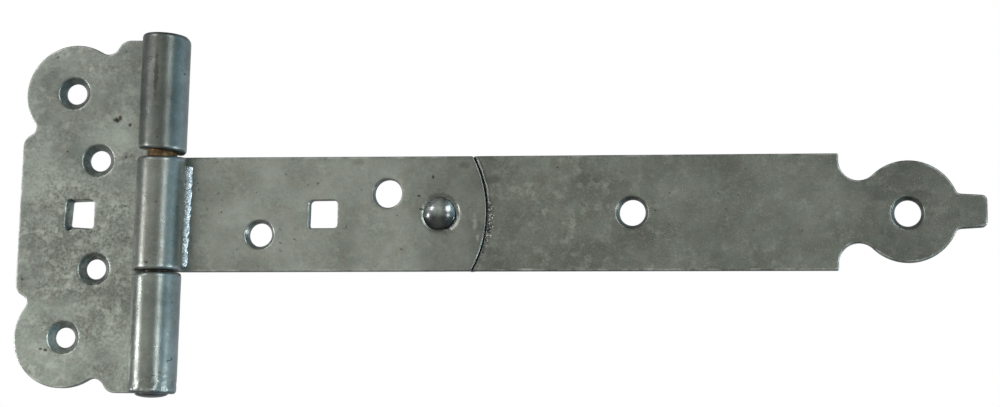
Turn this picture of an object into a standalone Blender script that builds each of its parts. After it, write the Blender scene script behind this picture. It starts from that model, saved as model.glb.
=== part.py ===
"""A t hinge: a wing plate with two rolled knuckles, and a long strap that swings on its pin.

Axes: +X runs along the strap, +Z runs up the pin, -Y is the side the knuckles stand out on.
The back of the plate and the back of the strap lie in the plane Y = 0, against the woodwork.
The origin is on the back of the plate at half its height, halfway from the square hole to the
slot. Each piece is drawn about the pin's axis, which is vertical and stands PIN_X to the right
of the origin. Everything is in metres.
"""
import math

import bmesh
import bpy
from mathutils import Matrix, Vector

MM = 0.001

# Sheet, pin and running fit
PIN_X = 17.6 * MM
PLATE_SHEET = 3.0 * MM
EYE_SHEET = 3.0 * MM
STRAP_SHEET = 3.0 * MM
PIN_RADIUS = 5.2 * MM
RUNNING_GAP = 0.1 * MM
ROLL_GAP = 0.3 * MM
EDGE_ROUND = 0.35 * MM

# Wing plate
PLATE_HALF_HEIGHT = 62.4 * MM
PLATE_LEFT = 53.0 * MM
SLOT_PLAY = 2.1 * MM
SLOT_CLEARANCE = 1.3 * MM
SLOT_CORNER = 1.2 * MM
LOBE_RADIUS = 17.6 * MM
LOBE_X = -35.0 * MM
LOBE_INSET = 19.2 * MM
TOP_NOTCH_RADIUS = 4.2 * MM
TOP_NOTCH_X = -23.3 * MM
SHOULDER_ROUND = 2.4 * MM
SIDE_NOTCH_RADIUS = 2.7 * MM
SIDE_NOTCH_INSET = 12.1 * MM
SIDE_ROUND = 4.5 * MM
INNER_HOLE_X = -25.3 * MM
INNER_HOLE_Z = 19.3 * MM
PLATE_THROAT = 3.8 * MM
PLATE_SINK = 5.8 * MM
PLATE_SQUARE_X = -30.6 * MM

# Eye strap, the short piece that turns on the pin
STRAP_WIDTH = 40.0 * MM
STRAP_END_GAP = 0.3 * MM
STRAP_LOWERED = 0.25 * MM
EYE_STRAP_LENGTH = 114.1 * MM
END_ARC_RADIUS = 42.0 * MM
LOW_HOLE_X = 34.1 * MM
HIGH_HOLE_X = 79.3 * MM
SIDE_HOLE_SHIFT = 7.1 * MM
LOW_HOLE_THROAT = 4.1 * MM
LOW_HOLE_SINK = 5.3 * MM
HIGH_HOLE_THROAT = 4.85 * MM
HIGH_HOLE_SINK = 5.4 * MM
STRAP_SQUARE_X = 56.6 * MM

# Square holes for the necks of carriage bolts
SQUARE_SIDE = 10.0 * MM
SQUARE_CORNER = 1.6 * MM

# Long strap
LAYER_GAP = 0.3 * MM
OVERLAP = 26.0 * MM
SEAM_GAP = 0.5 * MM
STEP_LENGTH = 3.2 * MM
MID_HOLE_X = 165.0 * MM
MID_HOLE_THROAT = 4.5 * MM
MID_HOLE_SINK = 5.7 * MM
STRAP_SHOULDER_X = 235.1 * MM
NECK_RADIUS = 6.8 * MM
SHOULDER_LEDGE = 2.54 * MM
FINIAL_RADIUS = 17.5 * MM
FINIAL_THROAT = 4.6 * MM
FINIAL_SINK = 5.8 * MM
TIP_LENGTH = 8.7 * MM
TIP_HALF_ROOT = 6.2 * MM
TIP_HALF_END = 5.6 * MM
TIP_ROUND = 1.5 * MM

# Rivet through the lap
RIVET_BACK_OFF = 15.6 * MM
RIVET_RADIUS = 4.0 * MM
RIVET_FIT = 0.25 * MM
RIVET_HEAD_RADIUS = 6.0 * MM
RIVET_HEAD_HEIGHT = 1.6 * MM
RIVET_TAIL_RADIUS = 6.4 * MM
RIVET_TAIL_HEIGHT = 1.0 * MM
DIMPLE_MARGIN = 0.9 * MM
DIMPLE_DEPTH = 0.45 * MM
SEAT_GAP = 0.25 * MM

# Weld that closes the eye, and the pin's peened ends
WELD_WIDTH = 2.5 * MM
WELD_HEIGHT = 1.6 * MM
WELD_SHORT = 2.6 * MM
PEEN_SPREAD = 0.4 * MM
PEEN_HEIGHT = 1.4 * MM

ROLL_STEPS = 62
ARC_STEP = math.radians(7.5)
HOLE_SIDES = 48
SEAM_STEPS = 24
SMALL = 1.0 * MM

BORE_RADIUS = PIN_RADIUS + RUNNING_GAP
PLATE_ROLL = BORE_RADIUS + PLATE_SHEET
EYE_ROLL = BORE_RADIUS + EYE_SHEET
PIN_Y = -PLATE_ROLL
STRAP_Y = PIN_Y + EYE_ROLL
STRAP_Z = -STRAP_LOWERED
STRAP_HALF = STRAP_WIDTH / 2
SLOT_DOWN = STRAP_HALF + STRAP_LOWERED + STRAP_END_GAP
SLOT_UP = STRAP_HALF - STRAP_LOWERED + SLOT_PLAY
SLOT_DEPTH = EYE_ROLL + SLOT_CLEARANCE
LOBE_Z = PLATE_HALF_HEIGHT - LOBE_INSET
SIDE_NOTCH_Z = LOBE_Z - SIDE_NOTCH_INSET
RIVET_X = EYE_STRAP_LENGTH - RIVET_BACK_OFF
NECK_X = STRAP_SHOULDER_X + NECK_RADIUS
NECK_Z = STRAP_HALF - SHOULDER_LEDGE
FINIAL_X = NECK_X + math.sqrt((FINIAL_RADIUS + NECK_RADIUS) ** 2 - NECK_Z ** 2)
PEEN_RADIUS = PIN_RADIUS + PEEN_SPREAD


def clear_scene():
    for thing in list(bpy.data.objects):
        bpy.data.objects.remove(thing, do_unlink=True)


def metal(name, colour, roughness, metallic=1.0):
    material = bpy.data.materials.new(name)
    material.use_nodes = True
    shader = material.node_tree.nodes["Principled BSDF"]
    shader.inputs["Base Color"].default_value = (*colour, 1.0)
    shader.inputs["Roughness"].default_value = roughness
    shader.inputs["Metallic"].default_value = metallic
    material.diffuse_color = (*colour, 1.0)
    return material


def new_object(name, bm, material=None):
    bmesh.ops.remove_doubles(bm, verts=bm.verts, dist=1e-6)
    bmesh.ops.recalc_face_normals(bm, faces=bm.faces)
    mesh = bpy.data.meshes.new(name)
    bm.to_mesh(mesh)
    bm.free()
    thing = bpy.data.objects.new(name, mesh)
    bpy.context.scene.collection.objects.link(thing)
    if material:
        mesh.materials.append(material)
    return thing


def arc(centre, radius, start, end):
    """Points from angle start to angle end, both ends included, about a centre."""
    steps = max(2, int(math.ceil(abs(end - start) / ARC_STEP)))
    points = []
    for i in range(steps + 1):
        angle = start + (end - start) * i / steps
        points.append((centre[0] + radius * math.cos(angle), centre[1] + radius * math.sin(angle)))
    return points


def bearing(origin, target):
    return math.atan2(target[1] - origin[1], target[0] - origin[0])


def mirrored(points):
    return [(x, -z) for x, z in reversed(points)]


def tidy(points):
    kept = []
    for point in points:
        if not kept or math.dist(point, kept[-1]) > 0.02 * MM:
            kept.append(point)
    if math.dist(kept[0], kept[-1]) < 0.02 * MM:
        kept.pop()
    return kept


def flat_sheet(outline, front, back):
    """A sheet with this outline in X and Z, between two planes of Y."""
    bm = bmesh.new()
    front_ring = [bm.verts.new((x, front, z)) for x, z in outline]
    back_ring = [bm.verts.new((x, back, z)) for x, z in outline]
    bm.faces.new(front_ring)
    bm.faces.new(list(reversed(back_ring)))
    for i in range(len(outline)):
        j = (i + 1) % len(outline)
        bm.faces.new((front_ring[i], back_ring[i], back_ring[j], front_ring[j]))
    bmesh.ops.recalc_face_normals(bm, faces=bm.faces)
    return bm


def roll_up(bm, centre_y, outer, sheet, way):
    """Bend the sheet's cut ends at X = 0 round the pin until they meet the sheet again."""
    ends = []
    for face in bm.faces:
        if all(abs(vert.co.x) < 1e-6 for vert in face.verts):
            ends.append(face)
    closing = math.asin((outer - sheet - ROLL_GAP) / outer)
    turn = way * (1.5 * math.pi + closing)
    for face in ends:
        bmesh.ops.spin(bm, geom=[face], cent=Vector((0, centre_y, 0)), axis=Vector((0, 0, 1)),
                       angle=turn, steps=ROLL_STEPS, use_merge=False, use_duplicate=False)
    bmesh.ops.delete(bm, geom=ends, context="FACES_ONLY")
    bmesh.ops.recalc_face_normals(bm, faces=bm.faces)


def lathe(profile, x, z, sides=HOLE_SIDES):
    """A turned solid about an axis along Y; the profile is (Y, radius) from front to back."""
    bm = bmesh.new()
    rings = []
    for y, radius in profile:
        if radius < 1e-6:
            rings.append([bm.verts.new((x, y, z))])
            continue
        ring = []
        for i in range(sides):
            angle = 2 * math.pi * i / sides
            ring.append(bm.verts.new((x + radius * math.cos(angle), y, z + radius * math.sin(angle))))
        rings.append(ring)
    for a, b in zip(rings, rings[1:]):
        for i in range(sides):
            j = (i + 1) % sides
            corners = [a[i % len(a)], a[j % len(a)], b[j % len(b)], b[i % len(b)]]
            bm.faces.new(list(dict.fromkeys(corners)))
    for ring in (rings[0], rings[-1]):
        if len(ring) > 1:
            bm.faces.new(ring)
    bmesh.ops.recalc_face_normals(bm, faces=bm.faces)
    return bm


def sunk_hole(x, z, front, back, throat, sink):
    """The tool for a countersunk round hole, cut from the front."""
    depth = sink - throat
    return lathe([(front - SMALL, sink + SMALL), (front + depth, throat), (back + SMALL, throat)], x, z)


def square_hole(x, z, front, back):
    """The tool for a square hole with rounded corners."""
    half = SQUARE_SIDE / 2
    inner = half - SQUARE_CORNER
    points = []
    for quarter, (cx, cz) in enumerate(((inner, inner), (-inner, inner), (-inner, -inner), (inner, -inner))):
        start = quarter * math.pi / 2
        points += arc((x + cx, z + cz), SQUARE_CORNER, start, start + math.pi / 2)
    return flat_sheet(tidy(points), front - SMALL, back + SMALL)


def merged(parts):
    """One mesh from several that do not touch."""
    whole = bmesh.new()
    for part in parts:
        held = bpy.data.meshes.new("tool")
        part.to_mesh(held)
        part.free()
        whole.from_mesh(held)
        bpy.data.meshes.remove(held)
    return whole


def soften_edges(thing, width):
    bevel = thing.modifiers.new("edge_round", "BEVEL")
    bevel.limit_method = "ANGLE"
    bevel.angle_limit = math.radians(50)
    bevel.width = width
    bevel.segments = 2
    bevel.use_clamp_overlap = True


def cut_with(thing, tool):
    tool.hide_render = True
    tool.display_type = "WIRE"
    cut = thing.modifiers.new("holes", "BOOLEAN")
    cut.operation = "DIFFERENCE"
    cut.solver = "EXACT"
    cut.object = tool


def smooth(thing, angle=35):
    for polygon in thing.data.polygons:
        polygon.use_smooth = True
    thing.data.set_sharp_from_angle(angle=math.radians(angle))


def plate_outline():
    """The wing plate's outline: knuckle tabs, slot, shoulders, round lobes and notches."""
    half_up = PLATE_HALF_HEIGHT
    slot_x = -SLOT_DEPTH
    lobe = (LOBE_X, LOBE_Z)
    reach = LOBE_RADIUS + TOP_NOTCH_RADIUS
    rise = math.sqrt(reach ** 2 - (TOP_NOTCH_X - LOBE_X) ** 2)
    top_notch = (TOP_NOTCH_X, LOBE_Z + rise)
    corner_z = half_up - SHOULDER_ROUND
    drop = top_notch[1] - corner_z
    corner_x = TOP_NOTCH_X + math.sqrt((TOP_NOTCH_RADIUS + SHOULDER_ROUND) ** 2 - drop ** 2)
    corner = (corner_x, corner_z)
    reach = LOBE_RADIUS + SIDE_NOTCH_RADIUS
    side_x = LOBE_X - math.sqrt(reach ** 2 - (LOBE_Z - SIDE_NOTCH_Z) ** 2)
    side_notch = (side_x, SIDE_NOTCH_Z)
    round_x = -PLATE_LEFT + SIDE_ROUND
    gap = math.sqrt((SIDE_NOTCH_RADIUS + SIDE_ROUND) ** 2 - (side_x - round_x) ** 2)
    side_corner = (round_x, SIDE_NOTCH_Z - gap)

    upper = arc(corner, SHOULDER_ROUND, math.pi / 2, bearing(corner, top_notch))
    start = bearing(top_notch, corner)
    end = bearing(top_notch, lobe)
    upper += arc(top_notch, TOP_NOTCH_RADIUS, start, end)
    start = bearing(lobe, top_notch)
    end = bearing(lobe, side_notch) % (2 * math.pi)
    upper += arc(lobe, LOBE_RADIUS, start, end)
    start = bearing(side_notch, lobe)
    end = bearing(side_notch, side_corner)
    upper += arc(side_notch, SIDE_NOTCH_RADIUS, start, end)
    start = bearing(side_corner, side_notch)
    upper += arc(side_corner, SIDE_ROUND, start, math.pi)

    slot_top = (slot_x + SLOT_CORNER, SLOT_UP - SLOT_CORNER)
    slot_low = (slot_x + SLOT_CORNER, SLOT_CORNER - SLOT_DOWN)
    slot = [(0, -SLOT_DOWN)]
    slot += arc(slot_low, SLOT_CORNER, -math.pi / 2, -math.pi)
    slot += arc(slot_top, SLOT_CORNER, math.pi, math.pi / 2)
    slot += [(0, SLOT_UP)]
    return tidy([(0, half_up)] + upper + mirrored(upper) + [(0, -half_up)] + slot)


def make_plate(material):
    bm = flat_sheet(plate_outline(), -PLATE_SHEET, 0)
    roll_up(bm, PIN_Y, PLATE_ROLL, PLATE_SHEET, -1)
    plate = new_object("frame_plate", bm, material)
    plate.location = (PIN_X, 0, 0)
    tools = [square_hole(PLATE_SQUARE_X, 0, -PLATE_SHEET, 0)]
    for side in (1, -1):
        tools.append(sunk_hole(LOBE_X, side * LOBE_Z, -PLATE_SHEET, 0, PLATE_THROAT, PLATE_SINK))
        tools.append(sunk_hole(INNER_HOLE_X, side * INNER_HOLE_Z, -PLATE_SHEET, 0, PLATE_THROAT, PLATE_SINK))
    soften_edges(plate, EDGE_ROUND)
    tool = new_object("plate_hole_tools", merged(tools))
    tool.parent = plate
    cut_with(plate, tool)
    smooth(plate)
    return plate


def end_arc_x(radius, z):
    """Where a circle concentric with the eye strap's rounded end crosses this height."""
    centre = EYE_STRAP_LENGTH - END_ARC_RADIUS
    return centre + math.sqrt(radius ** 2 - z ** 2)


def make_eye_strap(material):
    centre = EYE_STRAP_LENGTH - END_ARC_RADIUS
    swing = math.asin(STRAP_HALF / END_ARC_RADIUS)
    outline = [(0, STRAP_HALF), (0, -STRAP_HALF)]
    outline += arc((centre, 0), END_ARC_RADIUS, -swing, swing)
    front = STRAP_Y - EYE_SHEET
    bm = flat_sheet(tidy(outline), front, STRAP_Y)
    roll_up(bm, PIN_Y, EYE_ROLL, EYE_SHEET, 1)
    strap = new_object("eye_strap", bm, material)
    strap.location = (0, 0, STRAP_Z)
    dimple = RIVET_HEAD_RADIUS + DIMPLE_MARGIN
    hole = RIVET_RADIUS + RIVET_FIT
    floor = front + DIMPLE_DEPTH
    back = STRAP_Y
    tools = [
        sunk_hole(LOW_HOLE_X, -SIDE_HOLE_SHIFT, front, back, LOW_HOLE_THROAT, LOW_HOLE_SINK),
        sunk_hole(HIGH_HOLE_X, SIDE_HOLE_SHIFT, front, back, HIGH_HOLE_THROAT, HIGH_HOLE_SINK),
        square_hole(STRAP_SQUARE_X, 0, front, back),
        lathe([(front - SMALL, dimple + SMALL), (floor, dimple - DIMPLE_DEPTH),
               (floor, hole), (back + SMALL, hole)], RIVET_X, 0),
    ]
    soften_edges(strap, EDGE_ROUND)
    tool = new_object("eye_hole_tools", merged(tools))
    tool.parent = strap
    cut_with(strap, tool)
    smooth(strap)
    return strap


def finial_outline():
    """The far half of the long strap's outline: shoulders, necks, round finial and tip."""
    neck = (NECK_X, NECK_Z)
    finial = (FINIAL_X, 0)
    tip_x = FINIAL_X + FINIAL_RADIUS + TIP_LENGTH
    reach = FINIAL_RADIUS + TIP_ROUND
    root_z = TIP_HALF_ROOT + TIP_ROUND
    root = (FINIAL_X + math.sqrt(reach ** 2 - root_z ** 2), root_z)
    corner = (tip_x - TIP_ROUND, TIP_HALF_END - TIP_ROUND)
    upper = arc(corner, TIP_ROUND, 0, math.pi / 2)
    upper += arc(root, TIP_ROUND, -math.pi / 2, bearing(root, finial))
    upper += arc(finial, FINIAL_RADIUS, bearing(finial, root), bearing(finial, neck))
    upper += arc(neck, NECK_RADIUS, bearing(neck, finial), -math.pi)
    upper += [(STRAP_SHOULDER_X, STRAP_HALF)]
    return tidy(mirrored(upper) + upper)


def step_down(travel):
    """How far along its step the sheet has sunk: 1 on the tongue, 0 on the main strap."""
    travel = min(max(travel, 0.0), 1.0)
    return 1 - travel * travel * (3 - 2 * travel)


def make_long_strap(material):
    """The tongue sits behind the eye strap; a curved step brings the strap level in front."""
    tongue_x = EYE_STRAP_LENGTH - OVERLAP
    drop = EYE_SHEET + LAYER_GAP
    front = STRAP_Y - EYE_SHEET
    inner = END_ARC_RADIUS + SEAM_GAP
    straight_x = EYE_STRAP_LENGTH + 2 * STEP_LENGTH
    travels = [i / 8 for i in range(9)]
    bm = bmesh.new()
    rows = []
    for k in range(SEAM_STEPS + 1):
        z = STRAP_HALF * (1 - 2 * k / SEAM_STEPS)
        row = [(tongue_x, 1.0)]
        for travel in travels:
            row.append((end_arc_x(inner + travel * STEP_LENGTH, z), step_down(travel)))
        row.append((straight_x, 0.0))
        rows.append([(bm.verts.new((x, front + drop * sunk, z)),
                      bm.verts.new((x, front + drop * sunk + STRAP_SHEET, z))) for x, sunk in row])
    for upper, lower in zip(rows, rows[1:]):
        for i in range(len(upper) - 1):
            bm.faces.new((upper[i][0], upper[i + 1][0], lower[i + 1][0], lower[i][0]))
            bm.faces.new((upper[i][1], lower[i][1], lower[i + 1][1], upper[i + 1][1]))
        bm.faces.new((upper[0][0], lower[0][0], lower[0][1], upper[0][1]))
    for row in (rows[0], rows[-1]):
        for i in range(len(row) - 1):
            bm.faces.new((row[i][0], row[i][1], row[i + 1][1], row[i + 1][0]))
    far = finial_outline()
    far_front = [bm.verts.new((x, front, z)) for x, z in far]
    far_back = [bm.verts.new((x, front + STRAP_SHEET, z)) for x, z in far]
    seam_front = [row[-1][0] for row in rows]
    seam_back = [row[-1][1] for row in rows]
    bm.faces.new(seam_front + far_front)
    bm.faces.new(seam_back + far_back)
    loop_front = [seam_front[-1]] + far_front + [seam_front[0]]
    loop_back = [seam_back[-1]] + far_back + [seam_back[0]]
    for i in range(len(loop_front) - 1):
        bm.faces.new((loop_front[i], loop_front[i + 1], loop_back[i + 1], loop_back[i]))
    strap = new_object("long_strap", bm, material)
    strap.location = (0, 0, STRAP_Z)
    hole = RIVET_RADIUS + RIVET_FIT
    back = front + STRAP_SHEET
    tools = [
        lathe([(STRAP_Y - SMALL, hole), (back + drop + SMALL, hole)], RIVET_X, 0),
        sunk_hole(MID_HOLE_X, 0, front, back, MID_HOLE_THROAT, MID_HOLE_SINK),
        sunk_hole(FINIAL_X, 0, front, back, FINIAL_THROAT, FINIAL_SINK),
    ]
    soften_edges(strap, EDGE_ROUND)
    tool = new_object("strap_hole_tools", merged(tools))
    tool.parent = strap
    cut_with(strap, tool)
    smooth(strap)
    return strap


def make_rivet(material):
    """A flat-topped button head in front, a plain shank, and a low formed tail behind."""
    seat = STRAP_Y - EYE_SHEET + DIMPLE_DEPTH - SEAT_GAP
    top = STRAP_Y - EYE_SHEET - RIVET_HEAD_HEIGHT
    tail = STRAP_Y + LAYER_GAP + STRAP_SHEET + SEAT_GAP
    flat = 0.62 * RIVET_HEAD_RADIUS
    profile = [(top, 0), (top, flat)]
    crown = RIVET_HEAD_RADIUS - flat
    fall = seat - 0.3 * MM - top
    for i in range(1, 7):
        angle = math.pi / 2 * i / 6
        profile.append((top + fall * (1 - math.cos(angle)), flat + crown * math.sin(angle)))
    profile += [(seat, RIVET_HEAD_RADIUS), (seat, RIVET_RADIUS), (tail, RIVET_RADIUS)]
    profile += [(tail, RIVET_TAIL_RADIUS - 0.3 * MM), (tail + 0.3 * MM, RIVET_TAIL_RADIUS)]
    profile += [(tail + 0.7 * RIVET_TAIL_HEIGHT, RIVET_TAIL_RADIUS - 0.6 * MM)]
    profile += [(tail + RIVET_TAIL_HEIGHT, RIVET_TAIL_RADIUS - 2 * MM), (tail + RIVET_TAIL_HEIGHT, 0)]
    rivet = new_object("strap_rivet", lathe(profile, 0, 0), material)
    rivet.location = (RIVET_X, 0, STRAP_Z)
    smooth(rivet, 50)
    return rivet


def make_weld(material):
    """A narrow bead in the corner where the rolled eye comes back to the strap."""
    roll = EYE_ROLL + SEAT_GAP
    floor = STRAP_Y - EYE_SHEET - SEAT_GAP
    half = STRAP_HALF - WELD_SHORT
    foot = math.asin((floor - PIN_Y) / roll)
    climb = math.asin((floor - WELD_HEIGHT - PIN_Y) / roll)
    outer = (roll * math.cos(foot) + WELD_WIDTH, floor)
    section = []
    for i in range(6):
        angle = foot + (climb - foot) * i / 5
        section.append((roll * math.cos(angle), PIN_Y + roll * math.sin(angle)))
    head = section[-1]
    for i in range(1, 6):
        share = i / 6
        bulge = 0.22 * math.sin(math.pi * share) * WELD_HEIGHT
        section.append((head[0] + (outer[0] - head[0]) * share + 0.6 * bulge,
                        head[1] + (outer[1] - head[1]) * share - 0.8 * bulge))
    section.append(outer)
    steps = 14
    bm = bmesh.new()
    rings = []
    for k in range(steps + 1):
        z = half * (2 * k / steps - 1)
        rings.append([bm.verts.new((x, y, z)) for x, y in section])
    for a, b in zip(rings, rings[1:]):
        for i in range(len(section)):
            j = (i + 1) % len(section)
            bm.faces.new((a[i], a[j], b[j], b[i]))
    bm.faces.new(rings[0])
    bm.faces.new(rings[-1])
    weld = new_object("eye_weld", bm, material)
    weld.location = (0, 0, STRAP_Z)
    smooth(weld, 50)
    return weld


def make_pin(material):
    """A plain round pin, peened over to a low dome at both ends of the plate's knuckles."""
    half = PLATE_HALF_HEIGHT + SEAT_GAP
    profile = [(-half - PEEN_HEIGHT, 0)]
    for i in range(1, 6):
        angle = math.pi / 2 * i / 5
        profile.append((-half - PEEN_HEIGHT * math.cos(angle), PEEN_RADIUS * math.sin(angle)))
    profile.append((-half, PIN_RADIUS))
    profile += [(-z, radius) for z, radius in reversed(profile)]
    pin = new_object("hinge_pin", lathe(profile, 0, 0, sides=2 * 36), material)
    pin.data.transform(Matrix.Rotation(math.pi / 2, 4, "X"))
    pin.location = (PIN_X, PIN_Y, 0)
    smooth(pin, 50)
    return pin


def joint_axis(children):
    """An empty on the pin's axis; what turns with the strap hangs from it."""
    axis = bpy.data.objects.new("strap_swing", None)
    bpy.context.scene.collection.objects.link(axis)
    axis.location = (PIN_X, PIN_Y, 0)
    for child in children:
        child.parent = axis
        child.location.y -= PIN_Y


def main():
    clear_scene()
    plate_zinc = metal("plate_zinc", (0.30, 0.31, 0.28), 0.42)
    eye_zinc = metal("eye_zinc", (0.27, 0.28, 0.25), 0.42)
    strap_zinc = metal("strap_zinc", (0.20, 0.21, 0.19), 0.45)
    rivet_zinc = metal("rivet_zinc", (0.36, 0.38, 0.39), 0.30)
    weld_zinc = metal("weld_zinc", (0.50, 0.52, 0.53), 0.40)
    pin_steel = metal("pin_steel", (0.16, 0.10, 0.05), 0.50)
    make_plate(plate_zinc)
    make_pin(pin_steel)
    joint_axis([
        make_eye_strap(eye_zinc),
        make_long_strap(strap_zinc),
        make_rivet(rivet_zinc),
        make_weld(weld_zinc),
    ])


main()
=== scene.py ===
import math

import bpy
import numpy as np
from mathutils import Euler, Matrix
from mathutils.geometry import delaunay_2d_cdt


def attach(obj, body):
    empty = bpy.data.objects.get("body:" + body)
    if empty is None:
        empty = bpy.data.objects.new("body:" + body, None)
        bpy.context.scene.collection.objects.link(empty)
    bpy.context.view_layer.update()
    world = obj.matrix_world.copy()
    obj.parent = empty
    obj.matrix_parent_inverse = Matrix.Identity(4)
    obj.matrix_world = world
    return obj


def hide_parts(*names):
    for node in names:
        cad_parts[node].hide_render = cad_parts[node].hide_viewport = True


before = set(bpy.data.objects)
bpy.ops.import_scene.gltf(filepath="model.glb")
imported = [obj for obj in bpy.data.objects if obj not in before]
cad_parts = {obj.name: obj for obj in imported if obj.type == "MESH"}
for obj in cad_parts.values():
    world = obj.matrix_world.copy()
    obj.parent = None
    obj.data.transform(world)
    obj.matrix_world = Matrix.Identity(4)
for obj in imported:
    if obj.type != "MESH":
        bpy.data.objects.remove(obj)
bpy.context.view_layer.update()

MM = 0.001
TURN = 2 * math.pi

# Sizes in millimetres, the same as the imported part's but for EDGE and RIVET_X, which suit the finer surface
PIN_X = 17.6
SHEET = 3.0
PIN_RADIUS = 5.2
BORE = 5.3
ROLL = 8.3
PIN_Y = -ROLL
ROLL_GAP = 0.3
EDGE = 0.42
PLATE_HALF = 62.4
STRAP_Z = -0.25
STRAP_HALF = 20.0
EYE_LENGTH = 114.1
END_ARC = 42.0
ARC_CENTRE = EYE_LENGTH - END_ARC
RIVET_X = 98.2
SEAM_FROM, SEAM_TO = 100, 116

BEND = 0.5 * (BORE + ROLL)
ROLLED = BEND * (1.5 * math.pi + math.asin((ROLL - SHEET - ROLL_GAP) / ROLL))


# ---------------------------------------------------------------- outlines

def arc(centre, radius, start, end, step=4.0):
    """centre + radius * (cos a, sin a), with a running evenly from start to end."""
    count = max(3, int(abs(end - start) / math.radians(step)) + 2)
    a = np.linspace(start, end, count)
    return np.column_stack([centre[0] + radius * np.cos(a), centre[1] + radius * np.sin(a)])


def bearing(origin, target):
    return math.atan2(target[1] - origin[1], target[0] - origin[0])


def flipped(points):
    return points[::-1] * (1, -1)


def filleted(corners, radii):
    """The polygon through the corners, each replaced by an arc of its own radius that touches both sides."""
    corners = np.array(corners, float)
    path = []
    for here, before, after, radius in zip(corners, np.roll(corners, 1, 0), np.roll(corners, -1, 0), radii):
        back = (before - here) / np.linalg.norm(before - here)
        on = (after - here) / np.linalg.norm(after - here)
        half = math.acos(float(back @ on)) / 2
        centre = here + radius / math.sin(half) * (back + on) / np.linalg.norm(back + on)
        start = bearing(centre, here + back * radius / math.tan(half))
        turn = (bearing(centre, here + on * radius / math.tan(half)) - start + math.pi) % TURN - math.pi
        path.append(arc(centre, radius, start, start + turn, 12))
    return np.vstack(path)


def even_loop(points, step, soften):
    """The closed path through the points, resampled evenly, then averaged with its neighbours."""
    points = np.asarray(points, float)
    keep = np.linalg.norm(points - np.roll(points, 1, 0), axis=1) > 1e-4
    points = points[keep]
    closed = np.vstack([points, points[:1]])
    run = np.concatenate([[0], np.cumsum(np.linalg.norm(np.diff(closed, axis=0), axis=1))])
    count = int(run[-1] / step)
    at = np.linspace(0, run[-1], count, endpoint=False)
    loop = np.column_stack([np.interp(at, run, closed[:, 0]), np.interp(at, run, closed[:, 1])])
    for _ in range(soften):
        loop = 0.5 * loop + 0.25 * (np.roll(loop, 1, 0) + np.roll(loop, -1, 0))
    area = np.sum(loop[:, 0] * np.roll(loop[:, 1], -1) - loop[:, 1] * np.roll(loop[:, 0], -1))
    return loop if area > 0 else loop[::-1]


def outward(loop):
    """The unit normal at each point: the chord between its neighbours, turned a quarter turn."""
    chord = np.roll(loop, -1, 0) - np.roll(loop, 1, 0)
    normal = np.column_stack([chord[:, 1], -chord[:, 0]])
    return normal / np.linalg.norm(normal, axis=1)[:, None]


def tab_end(u, end, side, reach):
    """An edge of a rolled tab, moved by reach: its constant, linear and square terms along the roll."""
    along = np.clip((u - 10.7) / 21.3, -0.5, 1.1)
    return end + side * (reach[0] + reach[1] * along + reach[2] * along ** 2) * smooth_step(-2, 6, u)


def tab_edge(end, side, reach, start=0.0):
    u = np.linspace(start, ROLLED, 40)
    return np.column_stack([u, tab_end(u, end, side, reach)])


def plate_loop():
    lobe = (-35.0, PLATE_HALF - 19.2)
    top_notch = (-23.3, lobe[1] + math.sqrt(21.8 ** 2 - 11.7 ** 2))
    corner = (top_notch[0] + math.sqrt(8.6 ** 2 - (top_notch[1] - PLATE_HALF + 4.4) ** 2), PLATE_HALF - 4.4)
    side_notch = (lobe[0] - math.sqrt(20.3 ** 2 - 12.1 ** 2), lobe[1] - 12.1)
    side_corner = (-48.5, side_notch[1] - math.sqrt(7.2 ** 2 - (side_notch[0] + 48.5) ** 2))
    upper = np.vstack([
        arc(corner, 4.4, math.pi / 2, bearing(corner, top_notch)),
        arc(top_notch, 4.2, bearing(top_notch, corner), bearing(top_notch, lobe)),
        arc(lobe, 17.6, bearing(lobe, top_notch), bearing(lobe, side_notch) % TURN),
        arc(side_notch, 2.7, bearing(side_notch, lobe), bearing(side_notch, side_corner)),
        arc(side_corner, 4.5, bearing(side_corner, side_notch), math.pi),
    ])
    low = STRAP_Z - STRAP_HALF - 0.85
    high = STRAP_Z + STRAP_HALF + 2.1
    shelf = STRAP_Z + STRAP_HALF + 0.35
    slot = -ROLL - 1.3
    tab = [
        tab_edge(-PLATE_HALF, 1, (-0.3, 0.2, 0.1)),
        tab_edge(low, -1, (0.0, 0.5, 0.0))[::-1],
        arc((slot + 1.2, low + 1.2), 1.2, -math.pi / 2, -math.pi),
        arc((slot + 0.8, shelf - 0.8), 0.8, math.pi, math.pi / 2),
        arc((-8.0, shelf + 0.8), 0.8, -math.pi / 2, 0),
        arc((-6.6, high - 0.6), 0.6, math.pi, math.pi / 2),
        tab_edge(high, 1, (-1.2, 0.8, 0.8)),
        tab_edge(PLATE_HALF, -1, (0.5, -1.3, 0.3))[::-1],
    ]
    return even_loop(np.vstack([upper, flipped(upper)] + tab), 0.32, 4)


def eye_strap_loop():
    swing = math.asin(STRAP_HALF / END_ARC)
    end = arc((ARC_CENTRE, 0), END_ARC, -swing, swing, 1.0)
    top = tab_edge(STRAP_HALF, -1, (0.1, 2.65, -2.3)) * (-1, 1)
    bottom = tab_edge(-STRAP_HALF, 1, (-0.45, 0.25, 0.1)) * (-1, 1)
    return even_loop(np.vstack([top, bottom[::-1], end]), 0.32, 4)


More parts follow.
